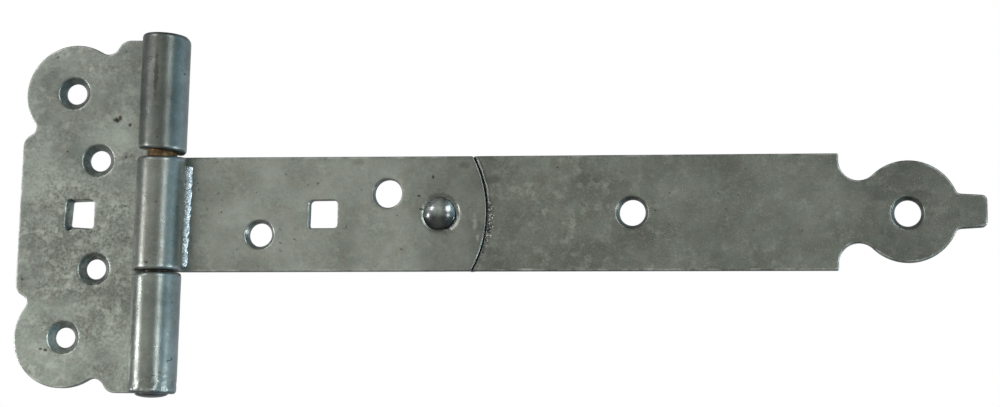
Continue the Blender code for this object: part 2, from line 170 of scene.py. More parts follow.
def long_strap_loop():
    neck = (241.9, 17.46)
    finial = (241.9 + math.sqrt(24.3 ** 2 - neck[1] ** 2) - 0.2, 0.0)
    root = (finial[0] + math.sqrt(19.0 ** 2 - 7.5 ** 2), 7.5)
    tip = 285.0
    tongue = np.linspace(EYE_LENGTH + 1.0, EYE_LENGTH - 26.0, 60)
    upper = np.vstack([
        arc((tip - 1.8, 3.7), 1.8, 0, math.pi / 2),
        arc(root, 1.6, -math.pi / 2, bearing(root, finial)),
        arc(finial, 17.4, bearing(finial, root), bearing(finial, neck)),
        arc(neck, 6.8, bearing(neck, finial), -math.pi),
        [(235.1, STRAP_HALF)],
        np.column_stack([tongue, STRAP_HALF - 0.4 * smooth_step(108.4, 107.6, tongue)
                         - 0.9 * smooth_step(107.8, 105.5, tongue)]),
    ])
    return even_loop(np.vstack([flipped(upper), upper]), 0.32, 4)


def round_loop(x, z, radius):
    count = max(40, int(TURN * radius / 0.32))
    a = np.arange(count) * TURN / count
    return np.column_stack([x + radius * np.cos(a), z + radius * np.sin(a)])


def square_loop(x, z, corners, radii):
    return even_loop(filleted(corners, radii) + (x, z), 0.32, 1)


# ---------------------------------------------------------------- waves and steps

def smooth_step(a, b, value):
    share = np.clip((value - a) / (b - a), 0, 1)
    return share * share * (3 - 2 * share)


def ripple(u, v, length, seed):
    """A sum of plane waves of about this length, with fixed headings: uneven, and the same each run."""
    draw = np.random.default_rng(seed)
    total = np.zeros_like(u)
    for _ in range(9):
        heading = draw.uniform(0, TURN)
        stretch = draw.uniform(0.6, 1.7) * length
        phase = draw.uniform(0, TURN)
        total += np.sin((u * math.cos(heading) + v * math.sin(heading)) * TURN / stretch + phase)
    return total / 9 ** 0.5


def inside(points, loop):
    """Even-odd rule: a point is inside when a line from it to +v crosses the loop an odd number of times."""
    ax, ay = loop[:, 0], loop[:, 1]
    bx, by = np.roll(ax, -1), np.roll(ay, -1)
    hit = np.zeros(len(points), bool)
    for start in range(0, len(points), 4000):
        px = points[start:start + 4000, 0:1]
        py = points[start:start + 4000, 1:2]
        spans = (ax > px) != (bx > px)
        with np.errstate(divide="ignore", invalid="ignore"):
            height = ay + (px - ax) / (bx - ax) * (by - ay)
        hit[start:start + 4000] = (np.sum(spans & (height > py), axis=1) % 2) == 1
    return hit


def nearest(points, targets):
    """Distance from each point to the nearest of the targets."""
    found = np.empty(len(points))
    for start in range(0, len(points), 2000):
        part = points[start:start + 2000]
        gap = part[:, None, :] - targets[None, :, :]
        found[start:start + 2000] = np.sqrt(np.min(np.einsum("ijk,ijk->ij", gap, gap), axis=1))
    return found


# ---------------------------------------------------------------- sheets

def grid_fill(outer, holes, spacing, fine=None):
    """Triangles that fill the outer loop round the holes, on an even grid of points between them.

    Where fine(u, v) is true the grid is 0.25 mm.
    """
    low, high = outer.min(0), outer.max(0)
    rims = np.vstack([outer] + holes)
    grids = []
    for step, dense in ((spacing, False), (0.25, True)):
        if dense and not fine:
            continue
        us = np.arange(low[0] + 0.37 * step, high[0], step)
        vs = np.arange(low[1] + 0.41 * step, high[1], step)
        grid = np.stack(np.meshgrid(us, vs), -1).reshape(-1, 2)
        if fine:
            grid = grid[fine(grid[:, 0], grid[:, 1]) == dense]
        keep = inside(grid, outer)
        for hole in holes:
            keep &= ~inside(grid, hole)
        grid = grid[keep]
        grids.append(grid[nearest(grid, rims) > 0.55 * step])
    grid = np.vstack(grids)
    points = np.vstack([rims, grid])
    edges = []
    start = 0
    for loop in [outer] + holes:
        ring = np.arange(start, start + len(loop))
        edges.append(np.column_stack([ring, np.roll(ring, -1)]))
        start += len(loop)
    edges = np.vstack(edges)
    result = delaunay_2d_cdt([tuple(p) for p in points], [tuple(e) for e in edges.tolist()], [], 0, 1e-5)
    if len(result[0]) != len(points):
        raise ValueError("a sheet's rims cross")
    faces = np.array([f for f in result[2] if len(f) == 3])
    middle = points[faces].mean(1)
    good = inside(middle, outer)
    for hole in holes:
        good &= ~inside(middle, hole)
    faces = faces[good]
    a, b, c = (points[faces[:, i]] for i in range(3))
    turn = (b[:, 0] - a[:, 0]) * (c[:, 1] - a[:, 1]) - (b[:, 1] - a[:, 1]) * (c[:, 0] - a[:, 0])
    faces = faces[np.abs(turn) > 1e-7]
    turn = turn[np.abs(turn) > 1e-7]
    faces[turn < 0] = faces[turn < 0][:, ::-1]
    return points, faces


def rim_rows(front, back, reach, sink):
    """Distances in from the rim, depths, and how dark each sheared wall is, as bare steel and with painted
    shade; a row for each point of the loop.

    The front corner is a quarter circle of radius front. The back corner is a quarter ellipse, back deep
    and reach wide. A sunk hole narrows down a straight cone: sink is its width and its depth.
    """
    front, back, reach = (np.asarray(size, float).reshape(-1, 1) for size in (front, back, reach))
    if sink:
        width, deep = np.asarray(sink[0], float).reshape(-1, 1), sink[1]
        t = np.array([[0.10, 0.18, 0.35, 0.55, 0.80, 1.0]])
        offsets = [width + front * (0.8, 0.35), width * (1 - t) + 0 * front]
        depths = [front * (0, 0.10), deep * t + 0 * front]
    else:
        a = np.linspace(0, math.pi / 2, 5)[None, :]
        offsets, depths = [front * (1 - np.sin(a))], [front * (1 - np.cos(a))]
    b = np.linspace(0, math.pi / 2, 6)[None, :]
    offsets += [0 * front, reach * (1 - np.cos(b))]
    waist = 0.5 * (sink[1] + SHEET) if sink else 0.62 * SHEET
    depths += [0 * front + waist, SHEET - back * (1 - np.sin(b))]
    smooth = offsets[0].shape[1] + (offsets[1].shape[1] if sink else 0)
    cut_and_shade = np.concatenate([np.zeros(smooth), np.ones(sum(o.shape[1] for o in offsets) - smooth)])
    cut_and_shade[-3:] = (0.6, 0.3, 0.0)
    return np.hstack(offsets), np.hstack(depths), cut_and_shade


def sheet_piece(name, body, node_name, outer, holes, lift, bend_side, spacing, shade_and_tone, blotch, fine=None):
    """A punched and rolled sheet.

    Drawn flat in (u, v) with w the depth below its front face. The faces are filled on a grid, the
    outline and each hole carry a rim profile round their loops, and lift(u, v, w) gives how far each
    point is pushed back. Then the flat is rolled: past u = 0 a point goes to angle u / BEND and
    radius BORE + w about the pin. The rolled ends are drawn in, so their outer corner is larger, and
    larger still on the right of the upper knuckle's top.
    holes is a list of (loop of the throat, width and depth of its cone or None). The tone function gives
    how light the plating is, with painted shade on the rolls, beside the bead and in the seam's groove;
    blotch gives how mottled.
    """
    us, vs, ws, faces, wear, cuts_and_shade = [], [], [], [], [], []
    total = 0
    rims = [(outer, None, -1.0)] + [(loop, sink, 1.0) for loop, sink in holes]
    front_loops, back_loops, front_ids, back_ids = [], [], [], []
    for loop, sink, side in rims:
        along = loop[:, 0] * bend_side * (side < 0)
        bent = smooth_step(1.0, 6.0, along) * (1 - smooth_step(ROLLED - 4.0, ROLLED - 0.8, along))
        top_right = np.exp(-((along - 10.0) / 5.0) ** 2) * bent * (loop[:, 1] > 50)
        back = 0.18 + 0.85 * bent + 0.7 * top_right
        offsets, depths, cut_and_shade = rim_rows(np.full(len(loop), EDGE), back, back * (1 + 0.3 * bent), sink)
        count, rows = offsets.shape
        at = loop[:, None, :] + side * outward(loop)[:, None, :] * offsets[..., None]
        us.append(at[..., 0].ravel())
        vs.append(at[..., 1].ravel())
        ws.append(depths.ravel())
        seam = (side < 0) & (loop[:, 0] > SEAM_FROM) & (loop[:, 0] < SEAM_TO)
        wear.append(np.repeat(np.where(seam | (side > 0), 0.15, 1.0), rows))
        cuts_and_shade.append((np.tile(cut_and_shade, (count, 1)) * (1 - 0.7 * np.maximum(bent, seam)[:, None])).ravel())
        index = total + np.arange(count * rows).reshape(count, rows)
        after = np.roll(index, -1, 0)
        quads = np.stack([index[:, :-1], index[:, 1:], after[:, 1:], after[:, :-1]], -1).reshape(-1, 4)
        faces.append(quads if side < 0 else quads[:, ::-1])
        front_loops.append(at[:, 0])
        back_loops.append(at[:, -1])
        front_ids.append(index[:, 0])
        back_ids.append(index[:, -1])
        total += count * rows
    for loops, ids, depth, turn in ((front_loops, front_ids, 0.0, 1), (back_loops, back_ids, SHEET, -1)):
        points, tris = grid_fill(loops[0], loops[1:], spacing, fine)
        shared = sum(len(loop) for loop in loops)
        where = np.concatenate(ids + [total + np.arange(len(points) - shared)])
        us.append(points[shared:, 0])
        vs.append(points[shared:, 1])
        ws.append(np.full(len(points) - shared, depth))
        wear.append(np.exp(-nearest(points[shared:], np.vstack(loops)) / 0.7))
        cuts_and_shade.append(np.zeros(len(points) - shared))
        tris = where[tris]
        faces.append(tris[:, ::-1] if turn < 0 else tris)
        total += len(points) - shared
    u, v, w = np.concatenate(us), np.concatenate(vs), np.concatenate(ws)
    depth = w + lift(u, v, w)
    x, y = u.copy(), PIN_Y + BORE + depth
    if bend_side:
        angle = np.maximum(u * bend_side, 0) / BEND
        rolled = u * bend_side > 0
        x = np.where(rolled, bend_side * (BORE + depth) * np.sin(angle), x)
        y = np.where(rolled, PIN_Y + (BORE + depth) * np.cos(angle), y)
    places = np.column_stack([x + PIN_X, y, v + (0.0 if body == "frame" else STRAP_Z)]) * MM
    thing = mesh_piece(name, places, sum((part.tolist() for part in faces), []))
    mark(thing, "wear", np.concatenate(wear))
    mark(thing, "cut_and_shade", np.concatenate(cuts_and_shade))
    mark(thing, "shade_and_tone", shade_and_tone(u, v, w))
    mark(thing, "blotch", blotch(u, v, w))
    flat = thing.data.attributes.new("flat", "FLOAT_VECTOR", "POINT")
    flat.data.foreach_set("vector", (np.column_stack([u, v, w]) * MM).astype(np.float32).ravel())
    finish_piece(thing, body, node_name)
    return thing


def mesh_piece(name, places, polygons):
    mesh = bpy.data.meshes.new(name)
    mesh.from_pydata(np.asarray(places).tolist(), [], polygons)
    mesh.validate()
    mesh.update()
    thing = bpy.data.objects.new(name, mesh)
    bpy.context.scene.collection.objects.link(thing)
    return thing


def mark(thing, name, values):
    layer = thing.data.attributes.new(name, "FLOAT", "POINT")
    layer.data.foreach_set("value", np.asarray(values, np.float32))


def finish_piece(thing, body, node_name, sharp=40):
    mesh = thing.data
    mesh.polygons.foreach_set("use_smooth", np.ones(len(mesh.polygons), bool))
    mesh.set_sharp_from_angle(angle=math.radians(sharp))
    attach(thing, body)
    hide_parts(node_name)


def turned_piece(name, body, node_name, profile, sides, place, wobble=None, sharp=50):
    """A profile of (height, radius) carried round an axis; place(h, r, a) sets it in the frame."""
    h, r = np.array(profile, float).T
    a = np.arange(sides) * TURN / sides
    height, around = np.meshgrid(h, a)
    radius = np.tile(r, (sides, 1))
    if wobble:
        height, radius = wobble(height, radius, around)
    spots = place(height, radius, around).reshape(-1, 3)
    rows = len(h)
    index = np.arange(sides * rows).reshape(sides, rows)
    after = np.roll(index, -1, 0)
    quads = np.stack([index[:, :-1], after[:, :-1], after[:, 1:], index[:, 1:]], -1).reshape(-1, 4)
    ends = [spots[index[:, 0]].mean(0), spots[index[:, -1]].mean(0)]
    first, last = len(spots), len(spots) + 1
    caps = np.column_stack([after[:, 0], index[:, 0], np.full(sides, first)]).tolist()
    caps += np.column_stack([index[:, -1], after[:, -1], np.full(sides, last)]).tolist()
    thing = mesh_piece(name, np.vstack([spots, ends]) * MM, quads.tolist() + caps)
    finish_piece(thing, body, node_name, sharp)
    return thing


# ---------------------------------------------------------------- the hinge's pieces

def punched(u, v, spots):
    """Sheet pulled in round punched holes: a shallow saucer of 1.3 mm fall-off round each."""
    total = np.zeros_like(u)
    for x, z, radius in spots:
        gap = np.hypot(u - x, v - z) - radius
        total += 0.10 * np.exp(-np.maximum(gap, 0) / 1.3)
    return total


def spread(u, v, centre_u, centre_v, reach_u, reach_v):
    """A soft oval patch, 1 in its middle."""
    return np.exp(-((u - centre_u) / reach_u) ** 2 - ((v - centre_v) / reach_v) ** 2)


def build_plate():
    hole_z = PLATE_HALF - 19.2
    spots = [(-35.2, hole_z + 0.3), (-34.9, -hole_z), (-25.3, 19.3), (-25.0, -19.2)]
    throats = (3.65, 3.5, 3.65, 3.5)
    holes = [(round_loop(x, z, r), (5.75 - r, 2.6)) for (x, z), r in zip(spots, throats)]
    corners = [(4.8, 4.9), (-3.3, 4.6), (-3.8, -4.2), (4.9, -4.8)]
    square = square_loop(-31.0, 0.0, corners, (1.7, 0.6, 0.6, 0.8))
    holes.append((square, (0.45 + 1.3 * smooth_step(-33.4, -34.4, square[:, 0]), 2.5)))

    def lift(u, v, w):
        dish = punched(u, v, [(x, z, 5.8) for x, z in spots] + [(-30.6, 0.0, 5.6)])
        flat = dish + 0.035 * ripple(u, v, 26, 3) + 0.008 * ripple(u, v, 6, 4)
        outside = smooth_step(1.0, 2.5, w) * smooth_step(4, 9, u)
        peened = outside * smooth_step(-56.5, -60.0, v) * (1 - smooth_step(26, 32, u))
        marks = -0.16 * np.abs(ripple(u, v, 2.6, 31)) + 0.06 * ripple(u, v, 7, 33)
        return np.where(u > 0, 0.012 * ripple(u, v, 9, 5) * outside, flat) + peened * marks

    def shade_and_tone(u, v, w):
        shade = 1.0 + 0.22 * spread(u, v, -42, -52, 18, 20) - 0.12 * spread(u, v, -24, 48, 24, 26)
        # painted shade: darker bands down the front right of both knuckles
        shade -= spread(u, v, 17.2, 42, 2.4, 26) * 0.20 + spread(u, v, 17.2, -42, 2.4, 26) * 0.14
        # painted shade over the rolled knuckles, more from 13 mm round the roll on the upper one
        knuckle = 1 - 0.25 * smooth_step(2, 8, u) - 0.29 * smooth_step(13, 18, u) * (v > 0)
        return shade * knuckle + 0.06 * ripple(u, v, 20, 41)

    def blotch(u, v, w):
        heavy = spread(u, v, -32, -6, 18, 18) + 0.8 * spread(u, v, -22, -24, 16, 26)
        return np.clip(0.45 + 0.65 * heavy + 0.2 * ripple(u, v, 13, 42) - 0.3 * smooth_step(2, 8, u), 0, 1)

    return sheet_piece("wing_plate", "frame", "frame_plate", plate_loop(), holes, lift, 1, 0.85, shade_and_tone, blotch)


def seam_radius(u, v):
    """Distance from the centre of the eye strap's rounded end."""
    return np.hypot(u - ARC_CENTRE, v)


def build_eye_strap():
    corners = [(5.0, 4.9), (-5.0, 4.8), (-5.1, -4.9), (5.1, -4.9)]
    holes = [
        (round_loop(34.1, -7.1, 4.1), (1.1, 1.6)),
        (round_loop(79.3, 7.1, 4.9), (0.5, 0.9)),
        (square_loop(56.6, 0.0, corners, (1.6, 1.4, 0.9, 1.2)), None),
        (round_loop(RIVET_X, 0.0, 4.25), None),
    ]

    def lift(u, v, w):
        dish = punched(u, v, [(34.1, -7.1, 5.2), (79.3, 7.1, 5.3), (56.6, 0.0, 5.6)])
        gap = np.hypot(u - RIVET_X, v)
        dimple = 0.75 * (1 - smooth_step(5.9, 7.0, gap))
        inner = END_ARC - seam_radius(u, v)
        lip = 0.10 * np.exp(-np.maximum(inner, 0) / 0.9) * (u > 90)
        flat = dish + dimple + lip + 0.03 * ripple(u, v, 24, 7) + 0.008 * ripple(u, v, 6, 8)
        return np.where(u < 0, 0.010 * ripple(u, v, 8, 9), flat)

    def shade_and_tone(u, v, w):
        # painted shade on the strap's front face just past the bead
        foot = 1 - 0.22 * np.exp(-np.maximum(u - 10.0, 0) / 2.6) * (u > 0) * (w < 2)
        end = 1 - 0.30 * smooth_step(80, 102, u)
        # painted shade on the rolled eye, less towards the end of the roll
        eye = 1 - 0.27 * smooth_step(-1, -6, u) + 0.12 * smooth_step(-28.5, -30.0, u)
        return foot * end * eye + 0.03 * ripple(u, v, 18, 43)

    def blotch(u, v, w):
        return np.clip(0.22 + 0.10 * ripple(u, v, 15, 44), 0, 1)

    return sheet_piece("eye_strap_sheet", "strap", "eye_strap", eye_strap_loop(), holes, lift, -1, 0.85,
                       shade_and_tone, blotch)


def build_long_strap():
    holes = [
        (round_loop(RIVET_X, 0.0, 4.25), None),
        (round_loop(164.7, 0.1, 4.5), (1.1, 1.6)),
        (round_loop(258.4, -0.6, 4.5), (1.1, 1.6)),
    ]

    def lift(u, v, w):
        wall, crest, whole = 2.6, 0.7, 3.3
        deep = wall * (1 - np.clip((seam_radius(u, v) - END_ARC + 0.03) / 0.12, 0, 1))
        radius = seam_radius(u, v) + 0.10 * ripple(u, v, 5, 12)
        reach = 1.9 + 1.2 * smooth_step(7, -1, v)
        front = deep + crest * (1 - np.clip((radius - END_ARC - 0.2) / reach, 0, 1)) ** 2
        back = whole * (1 - smooth_step(-1.2, 1.4, seam_radius(u, v) - END_ARC))
        share = np.clip(w / SHEET, 0, 1)
        sunk = front * (1 - share) + back * share
        battered = smooth_step(5, 1, v) * smooth_step(-13, -8, v) * (u > SEAM_FROM)
        crumbs = np.exp(-((radius - END_ARC - 1.4) / 0.9) ** 2) * (0.26 * ripple(u, v, 1.5, 13) - 0.05)
        shoulder = 0.12 * np.exp(-np.maximum(radius - END_ARC - reach, 0) / 0.8)
        dish = punched(u, v, [(164.7, 0.1, 5.6), (258.4, -0.6, 5.8)])
        flat = dish + 0.035 * ripple(u, v, 30, 14) + 0.008 * ripple(u, v, 6, 15)
        return sunk + (battered * crumbs + shoulder * (u > SEAM_FROM)) * (w < 2) + flat

    def fine(u, v):
        return (np.abs(seam_radius(u, v) - END_ARC - 1.2) < 1.7) & (u > SEAM_FROM)

    def shade_and_tone(u, v, w):
        beyond = seam_radius(u, v) - END_ARC
        # painted shade in the groove beyond the seam, on the front face
        groove = np.exp(-(np.maximum(beyond - 1.2, 0) / 0.6) ** 2) * (u > SEAM_FROM) * (w < 2)
        fade = 1.0 - 0.12 * smooth_step(134, 114, u) - 0.24 * smooth_step(225, 280, u)
        return (fade + 0.03 * ripple(u, v, 20, 45)) * (1 - 0.55 * groove)

    def blotch(u, v, w):
        return np.clip(0.20 + 0.25 * spread(u, v, 140, 0, 25, 25) + 0.10 * ripple(u, v, 15, 46), 0, 1)

    return sheet_piece("long_strap_sheet", "strap", "long_strap", long_strap_loop(), holes, lift, 0, 0.85,
                       shade_and_tone, blotch, fine)


def build_pin():
    """The pin: a straight bar, its foot hammered to a low dome, its head nearly flush."""
    half = PLATE_HALF + 0.25
    angles = np.linspace(0.15, math.pi / 2, 9)
    foot = [(-half - 1.4, 0.4)] + [(-half - 1.4 * math.cos(a), 5.6 * math.sin(a)) for a in angles]
    head = [(half - 0.2 + 0.4 * math.cos(a), PIN_RADIUS * math.sin(a)) for a in angles[::-1]]
    shank = [(z, PIN_RADIUS) for z in np.linspace(-half, half - 0.4, 30)]

    def place(h, r, a):
        return np.stack([PIN_X + r * np.cos(a), PIN_Y + r * np.sin(a), h], -1)

    return turned_piece("knuckle_pin", "frame", "hinge_pin", foot + shank + head, 96, place)


def build_rivet():
    """The rivet: a domed head of an 8.6 mm sphere, worn flatter on top, a shank, and a spread tail."""
    seat = -SHEET + 0.25
    rise = 8.6 - math.sqrt(8.6 ** 2 - 5.5 ** 2)
    top = seat - 0.25 - rise
    profile = []
    for r in (0.25, 0.9, 1.6, 2.3, 2.9, 3.4, 3.9, 4.3, 4.7, 5.0, 5.2, 5.4):
        sphere = top + 8.6 - math.sqrt(8.6 ** 2 - r * r)
        dished = top + 0.28 - 0.14 * (1 - (r / 2.4) ** 2) * (r < 2.4)
        profile.append((max(sphere, dished) if r > 2.0 else dished, r))
    profile += [(seat - 0.1, 5.52), (seat, 5.45), (seat + 0.02, 3.7)]
    profile += [(3.5, 3.7), (3.55, 6.1), (3.8, 6.4), (4.2, 5.9), (4.5, 4.6), (4.55, 0.3)]

    def wobble(h, r, a):
        near = r > 0.5
        lump = np.sin(3 * a + 0.6) + 0.6 * np.sin(7 * a + 2.0)
        return h + near * 0.03 * np.sin(2 * a + 1.0), r * (1 + near * 0.010 * lump)

    def place(h, r, a):
        return np.stack([PIN_X + RIVET_X - 0.5 + r * np.sin(a), h, STRAP_Z + r * np.cos(a)], -1)

    return turned_piece("lap_rivet", "strap", "strap_rivet", profile, 96, place, wobble)


def build_weld():
    """A bead laid up the eye's foot: half an ellipse in section, its height broken into grains along v."""
    low, high = -STRAP_HALF + 1.0, STRAP_HALF - 2.4
    rows, cols = 300, 20
    v = np.linspace(low, high, rows)
    t = np.linspace(0, 1, cols)
    draw = np.random.default_rng(21)
    rough = draw.normal(0, 1, (rows, cols))
    rough = (rough + np.roll(rough, 1, 0) + np.roll(rough, 1, 1)) / 1.7
    width = 2.2 + 0.5 * smooth_step(-12, 6, v) + 0.16 * ripple(v, v * 0, 2.2, 22)
    height = 1.15 + 0.12 * ripple(v, v * 0, 2.4, 23)
    ends = np.clip(np.minimum(v - low, high - v) / 0.9, 0.03, 1) ** 0.5
    foot = math.sqrt(ROLL ** 2 - (ROLL - SHEET) ** 2) + 0.3
    x = foot + (width * ends)[:, None] * t[None, :]
    hump = np.sin(math.pi * np.clip(0.2 + 0.8 * t, 0, 1)) ** 0.8
    y = -SHEET + 0.10 - (height * ends)[:, None] * hump[None, :]
    inner = np.sin(math.pi * t)[None, :] ** 0.6
    y += 0.10 * rough * inner
    x += 0.07 * np.roll(rough, 3, 0) * inner
    top = np.stack([PIN_X + x, y, v[:, None] + STRAP_Z + 0 * x], -1)
    under = top.copy()
    under[..., 1] = -SHEET + 0.3
    places = np.concatenate([top.reshape(-1, 3), under.reshape(-1, 3)]) * MM
    index = np.arange(rows * cols).reshape(rows, cols)
    base = index + rows * cols
    upper = np.stack([index[:-1, :-1], index[:-1, 1:], index[1:, 1:], index[1:, :-1]], -1).reshape(-1, 4)
    lower = np.stack([base[:-1, :-1], base[1:, :-1], base[1:, 1:], base[:-1, 1:]], -1).reshape(-1, 4)
    rim = np.concatenate([index[0, :], index[1:, -1], index[-1, -2::-1], index[-2:0:-1, 0]])
    after = np.roll(rim, -1)
    walls = np.stack([rim, rim + rows * cols, after + rows * cols, after], -1)
    thing = mesh_piece("eye_bead", places, upper.tolist() + lower.tolist() + walls.tolist())
    finish_piece(thing, "strap", "eye_weld", 60)
    return thing


# ---------------------------------------------------------------- finishes

def linear(code):
    """An sRGB hex colour as linear light."""
    parts = [int(code[i:i + 2], 16) / 255 for i in (1, 3, 5)]
    return tuple(c / 12.92 if c <= 0.04045 else ((c + 0.055) / 1.055) ** 2.4 for c in parts) + (1.0,)


def node(tree, kind, settings=None, **inputs):
    """Adds a node. Settings are its properties; inputs are values or the sockets that feed them."""
    made = tree.nodes.new(kind)
    for key, value in (settings or {}).items():
        setattr(made, key, value)
    for key, value in inputs.items():
        numbered = key[0] == "n" and key[1:].isdigit()
        socket = made.inputs[int(key[1:]) if numbered else key.replace("_", " ")]
        if isinstance(value, bpy.types.NodeSocket):
            tree.links.new(value, socket)
        else:
            socket.default_value = value
    return made


def finish(name):
    material = bpy.data.materials.new(name)
    material.use_nodes = True
    tree = material.node_tree
    shader = tree.nodes["Principled BSDF"]
    return material, tree, shader


def zinc(name, light, dark, warm, roughness, seed, stains=(), scuffs=()):
    """Bright zinc plate on sheet steel: electroplated, then dulled by handling and damp.

    Plating follows the rolled sheet: a fine grain of about 0.4 mm, dark mottling of 1 to 2 mm where
    the film has gone to white rust and been rubbed off, brown patches of about 4 mm, and slow clouds
    of about 18 mm. Edges are rubbed bright. Sheared walls are darkened as bare steel and with painted
    shade. The colour is then scaled by the tone attribute, which carries painted shade on the rolls,
    beside the bead and in the seam's groove as well as the plating's lightness.
    stains and scuffs are (u, v, w, half width along u, half width along v, strength) in millimetres.
    """
    material, tree, shader = finish(name)
    where = node(tree, "ShaderNodeAttribute", {"attribute_name": "flat"}).outputs["Vector"]
    wear, cut_and_shade, shade_and_tone, blotch = (node(tree, "ShaderNodeAttribute", {"attribute_name": key}).outputs["Fac"]
                               for key in ("wear", "cut_and_shade", "shade_and_tone", "blotch"))

    def noise(scale, detail, shift):
        moved = node(tree, "ShaderNodeVectorMath", {"operation": "ADD"}, n0=where,
                     n1=(seed + shift, shift, seed))
        return node(tree, "ShaderNodeTexNoise", Vector=moved.outputs[0], Scale=scale, Detail=detail,
                    Roughness=0.62).outputs["Fac"]

    def share(value, low, high, most=1.0, least=0.0):
        return node(tree, "ShaderNodeMapRange", Value=value, From_Min=low, From_Max=high, To_Min=least,
                    To_Max=most).outputs[0]

    def times(a, b):
        return node(tree, "ShaderNodeMath", {"operation": "MULTIPLY"}, n0=a, n1=b).outputs[0]

    def over(amount, below, above):
        return node(tree, "ShaderNodeMix", {"data_type": "RGBA"}, n0=amount, n6=below, n7=above).outputs[2]

    cloud, patch = noise(55, 4, 0.0), noise(230, 4, 0.3)
    mottle, grain = noise(900, 5, 0.6), noise(2200, 2, 0.9)
    colour = over(share(cloud, 0.36, 0.66), linear(dark), linear(light))
    colour = over(share(patch, 0.50, 0.76, 0.5), colour, linear(warm))
    speckle = times(share(mottle, 0.38, 0.68, 0.85), blotch)
    colour = over(speckle, colour, linear("#5C5850"))
    bloom = times(share(noise(330, 4, 1.8), 0.50, 0.68, 0.65), blotch)
    colour = over(bloom, colour, linear("#C9CCC4"))
    fleck = share(noise(1300, 3, 2.4), 0.40, 0.62)
    colour = over(times(share(grain, 0.54, 0.74, 0.55), fleck), colour, linear("#D0D4D0"))
    pit = share(noise(420, 2, 1.2), 0.70, 0.75, 0.7)
    worn = None
    for bright_mark, marks in ((False, stains), (True, scuffs)):
        for u, v, w, half_u, half_v, strength in marks:
            offset = node(tree, "ShaderNodeVectorMath", {"operation": "SUBTRACT"}, n0=where,
                          n1=(u * MM, v * MM, w * MM))
            scaled = node(tree, "ShaderNodeVectorMath", {"operation": "MULTIPLY"}, n0=offset.outputs[0],
                          n1=(1 / (half_u * MM), 1 / (half_v * MM), 1 / (1.4 * MM)))
            away = node(tree, "ShaderNodeVectorMath", {"operation": "LENGTH"}, n0=scaled.outputs[0])
            ragged = node(tree, "ShaderNodeMath", {"operation": "ADD"}, n0=away.outputs["Value"],
                          n1=share(mottle, 0.3, 0.7, 0.55, -0.35))
            found = share(ragged.outputs[0], 0.6, 1.15, 0.0, strength)
            if bright_mark:
                worn = found if worn is None else node(tree, "ShaderNodeMath", {"operation": "MAXIMUM"},
                                                       n0=worn, n1=found).outputs[0]
            else:
                pit = node(tree, "ShaderNodeMath", {"operation": "MAXIMUM"}, n0=pit, n1=found).outputs[0]
    colour = over(pit, colour, linear("#33291F"))
    if worn:
        colour = over(worn, colour, linear("#E2E5E3"))
    rubbed = share(times(wear, patch), 0.40, 0.64, 0.75)
    colour = over(rubbed, colour, linear("#C9CDCB"))
    # sheared walls darkened: bare steel, and painted shade in them
    colour = over(times(cut_and_shade, share(mottle, 0.2, 0.5, 0.9, 0.6)), colour, linear("#3E4346"))
    # the tone attribute scales the colour: the plating's lightness and painted shade
    colour = node(tree, "ShaderNodeVectorMath", {"operation": "SCALE"}, n0=colour, Scale=shade_and_tone).outputs[0]
    tree.links.new(colour, shader.inputs["Base Color"])
    shader.inputs["Metallic"].default_value = 1.0
    rough = node(tree, "ShaderNodeMath", {"operation": "ADD"}, n0=share(patch, 0.3, 0.7, roughness + 0.06,
                 roughness - 0.05), n1=times(speckle, 0.12))
    rough = node(tree, "ShaderNodeMath", {"operation": "ADD"}, n0=rough.outputs[0], n1=times(pit, 0.3))
    rough = node(tree, "ShaderNodeMath", {"operation": "ADD"}, n0=rough.outputs[0], n1=times(cut_and_shade, 0.2))
    tree.links.new(rough.outputs[0], shader.inputs["Roughness"])
    normal = None
    for height, strength, distance in ((cloud, 0.3, 0.0005), (patch, 0.3, 0.0002), (mottle, 0.4, 0.00006),
                                       (grain, 0.8, 0.00005)):
        bump = node(tree, "ShaderNodeBump", Height=height, Strength=strength, Distance=distance)
        if normal:
            tree.links.new(normal, bump.inputs["Normal"])
        normal = bump.outputs[0]
    tree.links.new(normal, shader.inputs["Normal"])
    return material


def bright_zinc(name, light, dark, roughness, scale, depth, low_shade=1.0):
    """Bright zinc plate over a formed or welded surface: smoother and cleaner than the sheet.

    grime is painted shade: how much light is left below the middle of its height, reached over 3.4 mm.
    """
    material, tree, shader = finish(name)
    where = node(tree, "ShaderNodeTexCoord").outputs["Object"]
    lumps = node(tree, "ShaderNodeTexNoise", Vector=where, Scale=scale, Detail=4.0, Roughness=0.6)
    share = node(tree, "ShaderNodeMapRange", Value=lumps.outputs["Fac"], From_Min=0.35, From_Max=0.65)
    colour = node(tree, "ShaderNodeMix", {"data_type": "RGBA"}, n0=share.outputs[0], n6=linear(dark),
                  n7=linear(light))
    height = node(tree, "ShaderNodeSeparateXYZ", Vector=where).outputs[2]
    # painted shade: darker below the middle of the piece's height
    shade_below = node(tree, "ShaderNodeMapRange", Value=height, From_Min=-0.0018, From_Max=0.0016,
                 To_Min=low_shade)
    shaded = node(tree, "ShaderNodeVectorMath", {"operation": "SCALE"}, n0=colour.outputs[2],
                  Scale=shade_below.outputs[0])
    tree.links.new(shaded.outputs[0], shader.inputs["Base Color"])
    shader.inputs["Metallic"].default_value = 1.0
    rough = node(tree, "ShaderNodeMapRange", Value=lumps.outputs["Fac"], From_Min=0.3, From_Max=0.7,
                 To_Min=roughness - 0.05, To_Max=roughness + 0.1)
    tree.links.new(rough.outputs[0], shader.inputs["Roughness"])
    bump = node(tree, "ShaderNodeBump", Height=lumps.outputs["Fac"], Strength=0.5, Distance=depth)
    tree.links.new(bump.outputs[0], shader.inputs["Normal"])
    return material


